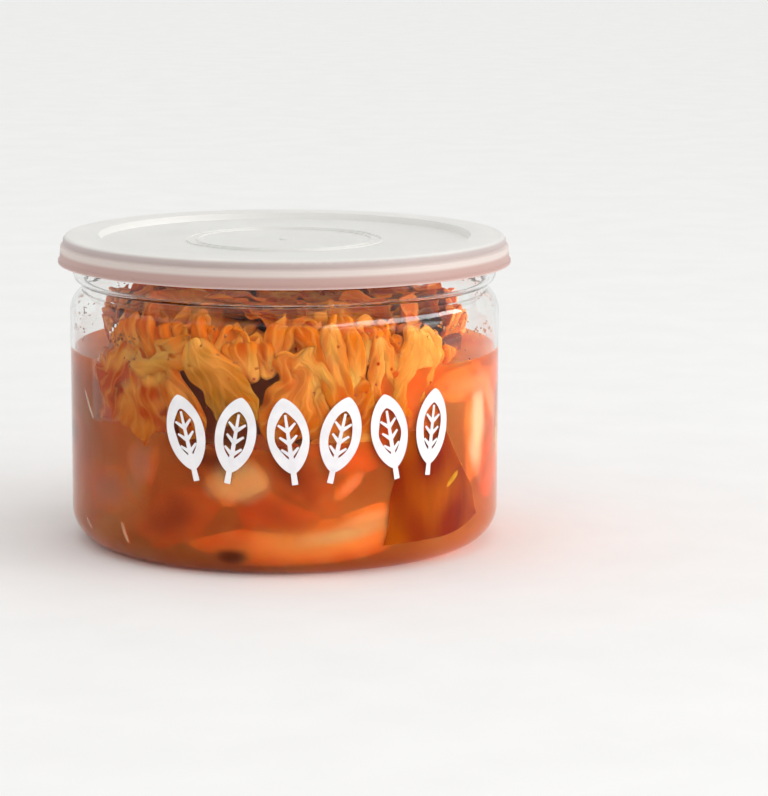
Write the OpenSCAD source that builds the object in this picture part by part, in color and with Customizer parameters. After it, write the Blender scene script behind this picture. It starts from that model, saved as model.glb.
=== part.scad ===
// A clear blown PET jar of pickled cabbage in brine, with a translucent snap lid.
// Origin: centre of the base on the surface the jar stands on, +Z up the jar's axis.
// Every solid of revolution is drawn as a half section in the XY plane, X being the radius.

/* [Jar] */
// Outer radius of the straight body
body_r = 51; // [42:0.5:62]
// Height of the jar from the foot to the top of its lip
jar_h = 71.6; // [58:0.2:90]
// Wall thickness of the blown PET
wall = 0.9; // [0.6:0.05:1.2]
// Radius that rounds the body into the base
base_round = 8; // [6:0.5:10]
// Width of the flat ring that the jar stands on
foot_w = 2.5; // [1.5:0.25:4]
// Height of the pushed-up centre of the base
push_up = 2.2; // [1:0.1:3]

/* [Neck] */
// Radius that rounds the body into the shoulder
shoulder_round = 6; // [5:0.5:7.5]
// How far the neck's waist steps in from the body
waist_step = 2.8; // [2:0.1:3.5]
// Height of the waist below the top of the lip
waist_drop = 11.6; // [10.5:0.1:14]
// Profile radius of the hollow bead above the waist
bead_round = 3.2; // [2.6:0.1:3.8]
// How far the bead stands out from the waist
bead_out = 2.1; // [1.6:0.1:2.4]
// Height of the bead's crest above the waist
bead_rise = 4.3; // [3.6:0.1:4.6]
// How far the neck above the bead stands out from the waist
neck_out = 1.2; // [0.9:0.1:1.4]
// Height of the lip that the lid snaps over
lip_h = 2.1; // [1.4:0.1:2.6]
// How far the lip stands in from the body
lip_step = 0.1; // [0:0.1:0.6]

/* [Lid] */
// Height of the lid from its hem to its rim
skirt_h = 6.4; // [5.6:0.1:7.7]
// Wall thickness of the lid
lid_wall = 1.1; // [0.8:0.1:1.4]
// How much wider the skirt is at its hem than at its top
skirt_flare = 1.2; // [0.9:0.1:1.5]
// Radius that rounds the lid's top edge
lid_round = 1.2; // [0.8:0.1:1.4]
// Clearance between the jar's lip and the lid's skirt
lid_gap = 0.5; // [0.3:0.1:0.7]
// How far the lid's snap ring reaches in under the jar's lip
snap_grip = 0.5; // [0.3:0.1:0.8]
// Width of the raised rim round the recessed panel
rim_w = 8; // [6:0.5:10]
// Depth of the recessed panel below the rim
panel_drop = 1.5; // [1:0.1:2]
// Radius of the larger raised ring on the panel
ring_r = 23.2; // [18:0.2:28]
// Height of the raised rings on the panel
ring_h = 0.35; // [0.2:0.05:0.6]

/* [Filling] */
// Depth of the brine's surface below the top of the lip
brine_drop = 25.1; // [20:0.1:40]
// Gap between the heap's widest edge and the inside of the wall
heap_gap = 3.6; // [1:0.1:6]
// Height of the heap's crown above the brine
heap_h = 15.5; // [8:0.5:17]
// Height of the heap's side where it meets the brine
heap_side = 1.6; // [1:0.1:3]
// Depth of the folds between the heap's pieces
fold_depth = 1.5; // [0.4:0.1:2]

/* [Hidden] */
$fn = 96;

// Neck and lip, from the top of the lip down
waist_z = jar_h - waist_drop;
waist_r = body_r - waist_step;
shoulder_z = waist_z - sqrt(pow(shoulder_round, 2) - pow(shoulder_round - waist_step, 2));
bead_z = waist_z + bead_rise;
bead_centre = waist_r + bead_out - bead_round;
bead_flat = 0.6;
neck_r = waist_r + neck_out;
lip_r = body_r - lip_step;
lip_z = jar_h - lip_h;
lip_fillet = 0.5;

// Base
foot_outer = body_r - base_round;
foot_inner = foot_outer - foot_w;
push_slope = 2 * push_up;

// Lid, seated on the lip
lid_top = jar_h + lid_wall;
lid_bottom = lid_top - skirt_h;
skirt_in = lip_r + lid_gap;
skirt_r = skirt_in + lid_wall;
hem_r = skirt_r + skirt_flare;
hem_h = 0.6;
hem_out = 0.35;
ledge_drop = 2.4;
ledge_out = 0.6;
ledge_rise = 0.5;
snap_r = 0.8;
snap_x = lip_r - snap_grip + snap_r;
snap_z = lip_z - 0.3 - snap_r;
panel_r = skirt_r - rim_w;
panel_top = lid_top - panel_drop;
panel_slope = 0.8;
ring_w = 0.7;
ring_pitch = 2.4;
gate_r = 1.3;

// Filling
brine_level = jar_h - brine_drop;
heap_r = body_r - wall - heap_gap;
heap_rings = 16;
heap_turns = 72;
edge_wave = 1.2;

// Overlap that makes the parts of one section run into each other
lap = 0.5;

// ---------- jar ----------

// Everything inside the jar's outer surface up to the waist, with t taken off all round:
// t = 0 gives the outer surface and t = wall the inner one.
module body_section(t) {
    corner_x = body_r - shoulder_round;
    difference() {
        union() {
            // Straight body, and the flat of the base between it and the axis
            translate([0, base_round]) square([body_r - t, shoulder_z - base_round]);
            translate([0, t]) square([foot_outer, base_round]);
            translate([foot_outer, base_round]) circle(r = base_round - t);
            // Shoulder
            translate([0, shoulder_z - lap]) square([corner_x, waist_drop / 4 + lap]);
            intersection() {
                translate([corner_x, shoulder_z]) circle(r = shoulder_round - t);
                square([body_r, waist_z]);
            }
        }
        // Pushed-up centre of the base
        polygon([
            [-1, t - 1], [foot_inner, t - 1], [foot_inner, t],
            [foot_inner - push_slope, t + push_up], [-1, t + push_up]
        ]);
    }
}

// Hollow bead between the waist and the neck, with t taken off all round
module bead_section(t) {
    for (z = [bead_z, bead_z + bead_flat])
        translate([bead_centre, z]) circle(r = bead_round - t);
    translate([bead_centre, bead_z]) square([bead_round - t, bead_flat]);
}

module outer_section() {
    body_section(0);
    translate([0, shoulder_z]) square([waist_r, bead_z - shoulder_z]);
    bead_section(0);
    translate([0, bead_z]) square([neck_r, jar_h - bead_z]);
    difference() {
        translate([0, lip_z]) square([lip_r, lip_h]);
        translate([lip_r, lip_z]) circle(r = lip_fillet);
    }
}

module inner_section() {
    body_section(wall);
    translate([0, shoulder_z]) square([waist_r - wall, bead_z - shoulder_z]);
    bead_section(wall);
    translate([0, bead_z]) square([neck_r - wall, jar_h - bead_z + 1]);
}

module jar() {
    color([0.93, 0.95, 0.94, 0.3])
        rotate_extrude()
            difference() {
                outer_section();
                inner_section();
            }
}

// ---------- filling ----------

module brine() {
    color([0.80, 0.36, 0.16, 0.9])
        rotate_extrude()
            intersection() {
                inner_section();
                square([body_r, brine_level]);
            }
}

// Sum of three turning waves, from -1 to 1: the crests are pieces and the troughs are folds
function folds(u, a) =
    0.45 * sin(5 * a + 260 * u)
    + 0.33 * cos(8 * a - 410 * u + 35)
    + 0.22 * sin(13 * a + 700 * u + 80);

// Radius of the heap's uneven edge at angle a, never past heap_r
function edge_r(a) = heap_r - edge_wave + edge_wave * folds(1, a + 20);

// Height of a flattened dome, 1 at the crown and 0 at the edge
function dome(u) = pow(1 - pow(u, 3.4), 0.8);

// Height of the heap at angle a, u of the way out: the folds fade at the crown and the edge
function heap_z(u, a) =
    brine_level + heap_side + (heap_h - heap_side - fold_depth) * dome(u)
    + fold_depth * folds(u, a) * min(1, 8 * u) * (1 - pow(u, 6));

function heap_point(u, a) = [edge_r(a) * u * cos(a), edge_r(a) * u * sin(a), heap_z(u, a)];

module kimchi() {
    step = 360 / heap_turns;
    turns = [0 : heap_turns - 1];
    skin_points = [for (i = [1 : heap_rings], j = turns) heap_point(i / heap_rings, j * step)];
    foot_points = [for (j = turns) let (a = j * step) [edge_r(a) * cos(a), edge_r(a) * sin(a), brine_level]];
    points = concat([[0, 0, heap_z(0, 0)]], skin_points, foot_points, [[0, 0, brine_level]]);
    last = len(points) - 1;

    // Index of point j on ring i, where ring 0 is the one next to the crown
    function at(i, j) = 1 + i * heap_turns + j % heap_turns;

    crown = [for (j = turns) [0, at(0, j + 1), at(0, j)]];
    skin = [for (i = [0 : heap_rings - 1], j = turns)
        each [[at(i, j), at(i, j + 1), at(i + 1, j + 1)], [at(i, j), at(i + 1, j + 1), at(i + 1, j)]]];
    under = [for (j = turns) [last, at(heap_rings, j), at(heap_rings, j + 1)]];
    color([0.88, 0.48, 0.20])
        polyhedron(points = points, faces = concat(crown, skin, under));
}

// ---------- lid ----------

// Everything inside the lid's outer surface: flat rim, rounded edge, ledge, sloping skirt and hem
module lid_outer_section() {
    ledge_z = lid_top - ledge_drop;
    polygon([
        [0, lid_bottom], [hem_r, lid_bottom], [hem_r, lid_bottom + hem_h],
        [hem_r - hem_out, lid_bottom + hem_h + hem_out],
        [skirt_r + ledge_out, ledge_z], [skirt_r, ledge_z + ledge_rise],
        [skirt_r, lid_top - lid_round], [0, lid_top - lid_round]
    ]);
    translate([skirt_r - lid_round, lid_top - lid_round]) circle(r = lid_round);
    translate([0, lid_top - lid_round - lap]) square([skirt_r - lid_round, lid_round + lap]);
}

// What the lid leaves free below it: the room for the lip and the neck, less the snap ring
module lid_room_section() {
    shelf_r = panel_r + lid_wall;
    difference() {
        polygon([
            [0, lid_bottom - 1], [hem_r - lid_wall, lid_bottom - 1],
            [hem_r - lid_wall, lid_bottom], [skirt_in, lip_z],
            [skirt_in, jar_h], [shelf_r, jar_h],
            [shelf_r - panel_slope, panel_top - lid_wall], [0, panel_top - lid_wall]
        ]);
        translate([snap_x, snap_z]) circle(r = snap_r);
    }
}

// The recess above the panel
module recess_section() {
    polygon([
        [0, panel_top], [panel_r - panel_slope, panel_top],
        [panel_r, lid_top + 1], [0, lid_top + 1]
    ]);
}

// Two raised rings and the gate mark in the middle of the panel
module panel_marks_section() {
    for (r = [ring_r, ring_r - ring_pitch])
        translate([r - ring_w / 2, panel_top - lap]) square([ring_w, ring_h + lap]);
    translate([0, panel_top - lap]) square([gate_r, ring_h + lap]);
}

module lid() {
    color([0.92, 0.91, 0.90, 0.85])
        rotate_extrude() {
            difference() {
                lid_outer_section();
                lid_room_section();
                recess_section();
            }
            panel_marks_section();
        }
}

jar();
brine();
kimchi();
lid();
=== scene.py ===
import math

import bmesh
import bpy
import numpy as np
from mathutils import Matrix, Vector


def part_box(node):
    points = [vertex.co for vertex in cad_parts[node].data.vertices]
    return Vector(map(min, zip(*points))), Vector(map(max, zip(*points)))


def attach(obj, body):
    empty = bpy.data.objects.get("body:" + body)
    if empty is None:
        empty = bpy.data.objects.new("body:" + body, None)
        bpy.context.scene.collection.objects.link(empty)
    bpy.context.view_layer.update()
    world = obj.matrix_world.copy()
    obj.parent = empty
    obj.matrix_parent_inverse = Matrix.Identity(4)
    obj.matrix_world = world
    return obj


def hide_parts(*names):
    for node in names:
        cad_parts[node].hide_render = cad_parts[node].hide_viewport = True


bl_info = {
    "name": "Kimchi Jar",
    "version": (1, 0, 0),
    "blender": (4, 5, 0),
    "location": "View3D > Sidebar > Kimchi Jar",
    "description": "Fills a clear snap-lid jar with cabbage kimchi in chilli brine",
    "category": "Object",
}

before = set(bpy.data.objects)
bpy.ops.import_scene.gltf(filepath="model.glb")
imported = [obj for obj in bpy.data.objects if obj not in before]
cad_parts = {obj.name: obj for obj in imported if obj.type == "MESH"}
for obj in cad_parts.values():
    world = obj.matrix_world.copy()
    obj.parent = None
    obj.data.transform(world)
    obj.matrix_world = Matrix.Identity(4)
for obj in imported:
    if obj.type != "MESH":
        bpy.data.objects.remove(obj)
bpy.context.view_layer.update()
MM = 0.001


def low(node):
    """Lowest corner of a CAD node, in millimetres."""
    return np.array(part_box(node)[0]) / MM


def high(node):
    """Highest corner of a CAD node, in millimetres."""
    return np.array(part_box(node)[1]) / MM


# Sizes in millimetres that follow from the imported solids
BODY_R = float(high("jar")[0])
INNER_R = float(high("brine")[0])
WALL = BODY_R - INNER_R
BRINE_TOP = float(high("brine")[2])
BRINE_LOW = float(low("brine")[2])
HEAP_TOP = float(high("kimchi")[2])
JAR_TOP = float(high("jar")[2])
LID_TOP = float(high("lid")[2])
SKIRT_Z = float(low("lid")[2])
HEAP_R = float(high("kimchi")[1])

# Radius at which a wet piece sits optically bonded to the wall
BOND_R = INNER_R + 0.3 * WALL
# Radius of the brine's own side, just inside the wall's material
BRINE_R = INNER_R + 0.15 * WALL
# Base of the jar: rounded corner, the ring it stands on, and the pushed-up centre
CORNER = 8.0
FOOT_W = 2.5
PUSH_UP = 2.2
PUSH_SLOPE = 4.4
FOOT_R = BODY_R - CORNER
PUSH_R = FOOT_R - FOOT_W - PUSH_SLOPE
# Shoulder, waist and bead under the mouth
SHOULDER = 6.0
WAIST_R = BODY_R - 2.8
WAIST_Z = JAR_TOP - 11.6
SHOULDER_Z = 54.9
BEAD = 3.2
BEAD_X = WAIST_R + 2.1 - BEAD
BEAD_Z = WAIST_Z + 4.3
NECK_R = WAIST_R + 1.2
# Thickness of the printed ink's film
FILM = 0.05
# The middle of the jar in metres, which the lamps face
LAMPS_AIM = (0.0, 0.0, 0.036)


# ---------- colour and nodes ----------

def linear(hex_colour):
    """sRGB hex to linear RGBA."""
    raw = [int(hex_colour[i:i + 2], 16) / 255 for i in (1, 3, 5)]
    return tuple(c / 12.92 if c <= 0.04045 else ((c + 0.055) / 1.055) ** 2.4 for c in raw) + (1.0,)


def add(tree, kind, inputs=None, stops=None, **settings):
    """One shader node with its settings. An input given as a socket is linked, as a node by its first
    output, and any other is a value. Colours are hex, as an input or as a stop (place, colour)."""
    node = tree.nodes.new("ShaderNode" + kind)
    for key, value in settings.items():
        setattr(node, key, value)
    if stops:
        ramp = node.color_ramp
        while len(ramp.elements) < len(stops):
            ramp.elements.new(0.5)
        for element, (place, colour) in zip(ramp.elements, stops):
            element.position = place
            element.color = linear(colour)
    for key, value in (inputs or {}).items():
        if isinstance(value, bpy.types.Node):
            value = value.outputs[0]
        if isinstance(value, bpy.types.NodeSocket):
            tree.links.new(value, node.inputs[key])
        else:
            node.inputs[key].default_value = linear(value) if isinstance(value, str) else value
    return node


def new_material(name):
    """An empty node material and its tree."""
    material = bpy.data.materials.new(name)
    material.use_nodes = True
    material.node_tree.nodes.clear()
    return material, material.node_tree


def finish(tree, shader, lamps_through=None):
    """Links a shader to the output. With a colour in lamps_through, shadow rays pass with that tint."""
    if lamps_through:
        path = add(tree, "LightPath")
        clear = add(tree, "BsdfTransparent", {"Color": lamps_through})
        shader = add(tree, "MixShader", {0: path.outputs["Is Shadow Ray"], 1: shader, 2: clear})
    add(tree, "OutputMaterial", {"Surface": shader})


# ---------- meshes from arrays ----------

def build_mesh(name, points, faces, uv=None, tone=None, material=None):
    """A smooth mesh object at the origin from points in millimetres and four-cornered faces.
    uv and tone are one value a point: a place on the piece in millimetres, and its colour."""
    mesh = bpy.data.meshes.new(name)
    mesh.from_pydata((points * MM).tolist(), [], faces.tolist())
    mesh.polygons.foreach_set("use_smooth", np.ones(len(mesh.polygons), bool))
    if uv is not None:
        corner = np.empty(len(mesh.loops), np.int32)
        mesh.loops.foreach_get("vertex_index", corner)
        layer = mesh.uv_layers.new(name="flat")
        layer.data.foreach_set("uv", uv[corner].astype(np.float32).ravel())
    if tone is not None:
        set_tone(mesh, tone)
    mesh.update()
    obj = bpy.data.objects.new(name, mesh)
    bpy.context.scene.collection.objects.link(obj)
    if material:
        mesh.materials.append(material)
    return obj


def set_tone(mesh, tone):
    """Stores a colour with alpha for each point in the attribute that the materials read."""
    layer = mesh.color_attributes.new("tone", "FLOAT_COLOR", "POINT")
    layer.data.foreach_set("color", tone.astype(np.float32).ravel())


def grid_faces(rows, columns, wrap=False):
    """Corners of the squares between the points of a grid, wrapping its columns if asked."""
    i, j = np.meshgrid(np.arange(rows - 1), np.arange(columns if wrap else columns - 1), indexing="ij")
    k = (j + 1) % columns
    quads = np.stack([i * columns + j, (i + 1) * columns + j, (i + 1) * columns + k, i * columns + k], -1)
    return quads.reshape(-1, 4)


def lathe(name, radius, height, turns, material, wobble=None):
    """Profile (radius, height) turned round Z in a number of steps, top or bottom closed by its poles.
    wobble(angle, height) may add to the radius. The profile runs upwards along the outside."""
    angle = np.arange(turns) * 2 * np.pi / turns
    r, z = np.broadcast_to(radius[:, None], (len(radius), turns)), height[:, None] + 0 * angle
    if wobble:
        r = np.where(r > 1e-6, r + wobble(np.broadcast_to(angle, r.shape), z, r), r)
    points = np.stack([r * np.sin(angle), -r * np.cos(angle), z], -1).reshape(-1, 3)
    faces = grid_faces(len(radius), turns, wrap=True)[:, ::-1]
    obj = build_mesh(name, points, faces, material=material)
    weld(obj)
    obj.data.set_sharp_from_angle(angle=math.radians(38))
    return obj


def weld(obj):
    """Merges the points that meet at a pole and drops the faces that close up there."""
    bm = bmesh.new()
    bm.from_mesh(obj.data)
    bmesh.ops.remove_doubles(bm, verts=bm.verts, dist=1e-7)
    bmesh.ops.recalc_face_normals(bm, faces=bm.faces)
    bm.to_mesh(obj.data)
    bm.free()


def arc(cx, cz, r, start, end, steps):
    """Points of an arc round (cx, cz) from one angle to another, in degrees."""
    t = np.radians(np.linspace(start, end, steps))
    return cx + r * np.cos(t), cz + r * np.sin(t)


def profile(*stretches):
    """Joins stretches of (radii, heights) into one profile."""
    return (np.concatenate([np.atleast_1d(s[0]).astype(float) for s in stretches]),
            np.concatenate([np.atleast_1d(s[1]).astype(float) for s in stretches]))


def jar_profiles():
    """Outer and inner section of the jar as (radii, heights): pushed-up base, rounded corner, straight
    wall, rounded shoulder, waist, bead, and neck with its lip."""
    def meets(radius, out):
        """Angle in degrees at which an arc of that radius stands out so far from its centre."""
        return math.degrees(math.acos(min(1.0, out / radius)))

    def rounds(cut):
        """Shoulder and bead arcs, upwards, with cut taken off their radii and off the waist and neck."""
        shoulder, bead = SHOULDER - cut, BEAD - cut
        shoulder_x = BODY_R - SHOULDER
        waist, neck = WAIST_R - cut - BEAD_X, NECK_R - cut - BEAD_X
        waist_at = meets(shoulder, WAIST_R - cut - shoulder_x)
        return profile(arc(shoulder_x, SHOULDER_Z, shoulder, 0, waist_at, 14),
                       arc(BEAD_X, BEAD_Z, bead, -meets(bead, waist), 0, 12),
                       arc(BEAD_X, BEAD_Z + 0.6, bead, 0, meets(bead, neck), 8))

    wall_z = np.linspace(CORNER + 1.5, SHOULDER_Z - 1, 24)
    push = np.linspace(0, PUSH_R, 6)
    lip_r, lip_z = BODY_R - 0.1, JAR_TOP - 2.1
    foot = np.linspace(FOOT_R - FOOT_W, FOOT_R, 4)
    outside = profile((push, np.full(6, PUSH_UP)), (foot, np.zeros(4)),
                      arc(FOOT_R, CORNER, CORNER, -90, 0, 20), (np.full(24, BODY_R), wall_z), rounds(0),
                      (NECK_R, lip_z), (lip_r - 0.5, lip_z), (lip_r, lip_z + 0.5), (lip_r, JAR_TOP))
    inside = profile((push, np.full(6, PUSH_UP + WALL)), (foot, np.full(4, WALL)),
                     arc(FOOT_R, CORNER, CORNER - WALL, -90, 0, 20), (np.full(24, INNER_R), wall_z),
                     rounds(WALL), (NECK_R - WALL, JAR_TOP))
    return outside, inside


OUTSIDE, INSIDE = jar_profiles()


def wall_radius(z):
    """Radius of the jar's inner face at a height."""
    r, height = INSIDE
    return np.interp(z, height[10:], r[10:])


def shell(middle, thickness):
    """Two skins, half the thickness to each side of a grid's middle surface, along its normals."""
    normal = np.cross(np.gradient(middle, axis=0), np.gradient(middle, axis=1))
    normal /= np.linalg.norm(normal, axis=2, keepdims=True) + 1e-9
    return np.stack([middle + normal * thickness[..., None] / 2, middle - normal * thickness[..., None] / 2])


def shell_faces(nu, nv):
    """Faces of the two skins of shell() and of the rim that joins them, all facing outwards."""
    top = grid_faces(nu, nv)
    under = top[:, ::-1] + nu * nv
    index = np.arange(nu * nv).reshape(nu, nv)
    sides = []
    for edge, turned in ((index[:, 0], False), (index[:, -1], True), (index[0], True), (index[-1], False)):
        a, b = edge[:-1], edge[1:]
        quad = np.stack([a, a + nu * nv, b + nu * nv, b], -1)
        sides.append(quad[:, ::-1] if turned else quad)
    return np.concatenate([top, under, *sides])


def join_shells(name, sheets, material):
    """One mesh from many sheets, each a dict of middle, thickness, uv and tone grids."""
    points, faces, uv, tone, start = [], [], [], [], 0
    for s in sheets:
        nu, nv = s["thickness"].shape
        skins = shell(s["middle"], s["thickness"])
        points.append(skins.reshape(-1, 3))
        faces.append(shell_faces(nu, nv) + start)
        uv.append(np.tile(s["uv"].reshape(-1, 2), (2, 1)))
        opaque = np.ones((nu, nv, 1))
        tone.append(np.tile(np.concatenate([s["tone"], opaque], -1).reshape(-1, 4), (2, 1)))
        start += 2 * nu * nv
    obj = build_mesh(name, np.concatenate(points), np.concatenate(faces),
                     np.concatenate(uv), np.concatenate(tone), material)
    obj.data.set_sharp_from_angle(angle=math.radians(60))
    return obj


def waves(x, y, rng, size, count=6):
    """Smooth noise near -1 to 1: a sum of cosine waves of random heading and phase, near size long."""
    heading = rng.uniform(0, 2 * np.pi, count)
    length = size * rng.uniform(0.6, 1.7, count)
    phase = rng.uniform(0, 2 * np.pi, count)
    run = x[..., None] * np.cos(heading) + y[..., None] * np.sin(heading)
    return np.cos(run * 2 * np.pi / length + phase).sum(-1) / math.sqrt(count)


def step(x, a, b):
    """Smooth step from 0 at a to 1 at b."""
    t = np.clip((x - a) / (b - a), 0, 1)
    return t * t * (3 - 2 * t)


def blend_colour(a, b, amount):
    """Colour a turning into b by amount, a grid from 0 to 1."""
    return a + (b - a) * np.clip(amount, 0, 1)[..., None]


# ---------- cabbage ----------

# Colours of fermented cabbage: the thick white rib, the blade, its green tip and the chilli stain
RIB, BLADE, GREEN, STAIN, DEEP = (np.array(linear(c)[:3]) for c in (
    "#F2A048", "#E0700E", "#B8741C", "#C44A02", "#6E2402"))


def leaf_tone(u, v, length, rng, blade, green, stain):
    """Colour over a leaf. It goes from rib to blade with blade, a grid from 0 to 1, to green by
    green at the tip, and takes chilli in soft blotches as strongly as stain says."""
    colour = blend_colour(RIB[None, None], BLADE[None, None], blade)
    tip = green * step(v + 0.25 * waves(u * 6, v * length, rng, 9), 0.1, 0.8)
    colour = blend_colour(colour, GREEN[None, None], tip)
    blotch = stain * (0.5 + 0.5 * waves(u * 8, v * length, rng, 8))
    colour = blend_colour(colour, STAIN[None, None], blotch)
    dark = 0.4 * stain * step(waves(u * 8, v * length, rng, 6), 0.7, 1.8)
    return blend_colour(colour, DEEP[None, None], dark)


def leaf_sheet(rng, length, width, nu=21, nv=31, rib=0.4, crumple=1.0, green=0.0, stain=0.6):
    """A piece of cabbage leaf lying in its own plane, u across and v along it. Its outline is a
    rounded oblong with uneven edges. It bends along and across, is crumpled by two sizes of
    waves, and its edges ruffle more the further they are from the rib. The rib is thick at the
    root, thins to the tip and has fine ridges along it."""
    u, v = np.meshgrid(np.linspace(-1, 1, nu), np.linspace(0, 1, nv), indexing="ij")
    half = width / 2 * (1 - 0.75 * np.abs(2 * v - 1) ** 4) * (0.75 + 0.25 * step(v, 0, 0.6))
    x = u * half + 0.06 * width * waves(v * length, v * 0, rng, 11)
    y = (v - 0.5) * length + 0.05 * length * waves(x, v * 0, rng, 9)
    soft = 1 - rib * (1 - step(v, 0.2, 0.85)) * (1 - np.abs(u) ** 2)
    lie = crumple * soft * (1.2 * waves(x, y, rng, 14) + 0.35 * waves(x, y, rng, 7))
    phase = y * 2 * np.pi / rng.uniform(7, 10) + rng.uniform(0, 6) + 1.2 * waves(x, y, rng, 14)
    ruffle = crumple * soft * np.abs(u) ** 2.5 * 1.7 * np.sin(phase)
    bend = rng.uniform(-0.5, 1.0) * 2.2 * (2 * v - 1) ** 2 * length / 22
    cup = rng.uniform(-0.4, 1.0) * 2.0 * u ** 2 * width / 16
    middle = np.stack([x, y, lie + ruffle + bend + cup], -1)
    root = rib * (1 - step(v, 0.1, 0.95)) * (1 - np.abs(u) ** 2.5)
    ridge = 1 + 0.15 * np.cos(u * half * 2 * np.pi / 1.8 + rng.uniform(0, 6))
    thickness = (0.45 + 3.0 * root * ridge) * (1 - 0.8 * np.maximum(np.abs(u), np.abs(2 * v - 1)) ** 8)
    blade = np.clip(1 - 1.6 * root / max(rib, 0.1), 0, 1) if rib > 0.05 else np.ones_like(u)
    return {"middle": middle, "thickness": thickness,
            "uv": np.stack([u * width / 2, v * length], -1),
            "tone": leaf_tone(u, v, length, rng, blade, green, stain)}


def turn(points, yaw, pitch, roll):
    """Points turned by roll about Y, then pitch about X, then yaw about Z, in radians."""
    cy, sy, cp, sp, cr, sr = (f(a) for a in (yaw, pitch, roll) for f in (np.cos, np.sin))
    about_y = np.array([[cr, 0, sr], [0, 1, 0], [-sr, 0, cr]])
    about_x = np.array([[1, 0, 0], [0, cp, -sp], [0, sp, cp]])
    about_z = np.array([[cy, -sy, 0], [sy, cy, 0], [0, 0, 1]])
    return points @ (about_z @ about_x @ about_y).T


def heap_height(r):
    """Height of the heap's surface at radius r, a flattened dome over the brine."""
    u = np.clip(r / HEAP_R, 0, 1)
    return BRINE_TOP + 2.6 + (HEAP_TOP - BRINE_TOP - 4.1) * (1 - u ** 3.4) ** 0.8


def keep_inside(points):
    """Eases points in so that they stay clear of the jar's inner face, by 1.5 mm at the front and 8
    mm round the rest: what would reach past 4 mm from the limit is pressed together there."""
    r = np.hypot(points[..., 0], points[..., 1])
    clear = 1.5 + 6.5 * step(np.degrees(np.abs(np.arctan2(points[..., 0], -points[..., 1]))), 38, 58)
    press = 4.0
    start = wall_radius(points[..., 2]) - clear - press
    over = np.maximum(r - start, 0)
    eased = np.where(over > 0, start + press * (1 - np.exp(-over / press)), r)
    points[..., :2] *= (eased / np.maximum(r, 1e-6))[..., None]
    points[..., 2] = np.minimum(points[..., 2], HEAP_TOP + 0.5)
    return points


def place_on_wall(x, y, depth, angle, z, tilt):
    """Flat coordinates x across and y along, tilted, wrapped on the wall's inside round angle, with
    depth counted inwards. The angle is in degrees from the front towards +X."""
    c, s = np.cos(np.radians(tilt)), np.sin(np.radians(tilt))
    across, up = x * c + y * s, -x * s + y * c
    a = np.radians(angle) + across / BOND_R
    height = np.maximum(z + up, BRINE_LOW + 0.4)
    r = wall_radius(height) + BOND_R - INNER_R - depth
    return np.stack([r * np.sin(a), -r * np.cos(a), height], -1)


def wall_leaf(rng, angle, z, length, width, tilt, rib=0.3, green=0.0, stain=0.5, spread=0.0, depth=0.0,
              fold=0.7, nu=31, nv=37):
    """A cabbage leaf pressed against the wall, from its root at v = 0. Its outline is a rounded
    oblong with uneven edges, narrower at the root by spread. It touches the wall where its waves
    would pass it, and lies back from it in the folds and near its edges; depth sinks it all."""
    u, v = np.meshgrid(np.linspace(-1, 1, nu), np.linspace(0, 1, nv), indexing="ij")
    half = width / 2 * (1 - 0.6 * np.abs(2 * v - 1) ** 5) * (1 - spread * (1 - v))
    x = u * half + 0.05 * width * waves(v * length, v * 0, rng, 12)
    x = x + 0.02 * width * waves(v * length, u * 9, rng, 4)
    y = (v - 0.5) * length + 0.05 * length * waves(x, v * 0, rng, 10)
    y = y + 0.02 * length * waves(x, v * 9, rng, 4)
    across = u * width / 2
    wave = waves(across, y * 0.5, rng, 11) + 0.5 * waves(across * 2.2, y, rng, 9)
    edge = np.maximum(np.abs(u), np.abs(2 * v - 1))
    inward = depth + fold * np.clip(wave + 0.2, 0, 3) + 0.8 * fold * edge ** 6
    root = rib * (1 - step(v, 0.1, 0.95)) * (1 - np.abs(u) ** 2.5)
    thickness = (0.5 + 2.6 * root) * (1 - 0.75 * edge ** 8)
    ridge = 0.10 * root * (1 + np.cos(x * 2 * np.pi / 1.7 + rng.uniform(0, 6)))
    middle = place_on_wall(x, y, inward + ridge + thickness / 2, angle, z, tilt)
    blade = np.clip(1 - 1.6 * root / max(rib, 0.1), 0, 1) if rib > 0.05 else np.ones_like(u)
    return {"middle": middle, "thickness": thickness,
            "uv": np.stack([across, v * length], -1),
            "tone": leaf_tone(u, v, length, rng, blade, green, stain)}


def frill(rng, angle, z, length, rise, tilt, depth=0.5, pitch=6.0, throw=1.7, stain=0.7):
    """The curled upper edge of a leaf behind the wall: a strip, s along it and t up it from a foot
    that lies back in the heap. Towards its edge it is thrown in and out as sin(phase) and drawn
    sideways as sin(2 phase), so that the edge turns in loops. Some stretches curl less than others."""
    s, t = np.meshgrid(np.linspace(-1, 1, 85), np.linspace(0, 1, 12), indexing="ij")
    along = s * length / 2
    phase = along * 2 * np.pi / pitch + rng.uniform(0, 6) + 1.8 * waves(along, 0 * along, rng, 13)
    curl = throw * np.clip(0.75 + 0.45 * waves(along, 0 * along, rng, 9), 0.15, 1.5)
    x = along - 0.10 * pitch * t * np.sin(2 * phase)
    lift = 1 + 0.22 * waves(along, 0 * along, rng, 10)
    y = t * rise * lift + 1.0 * curl * t ** 2 * np.cos(phase + 0.5) - 0.4 * rise * s ** 4
    inward = depth + curl * (1 + t ** 1.3 * np.sin(phase)) + 2.4 * (1 - t) ** 2
    thickness = 0.65 * (1 - 0.5 * np.maximum(t, np.abs(s)) ** 8)
    return {"middle": place_on_wall(x, y, inward, angle, z, tilt), "thickness": thickness,
            "uv": np.stack([y, along], -1),
            "tone": leaf_tone(s, t, rise, rng, 0.35 + 0.65 * (1 - t), 0.0, stain)}


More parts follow.
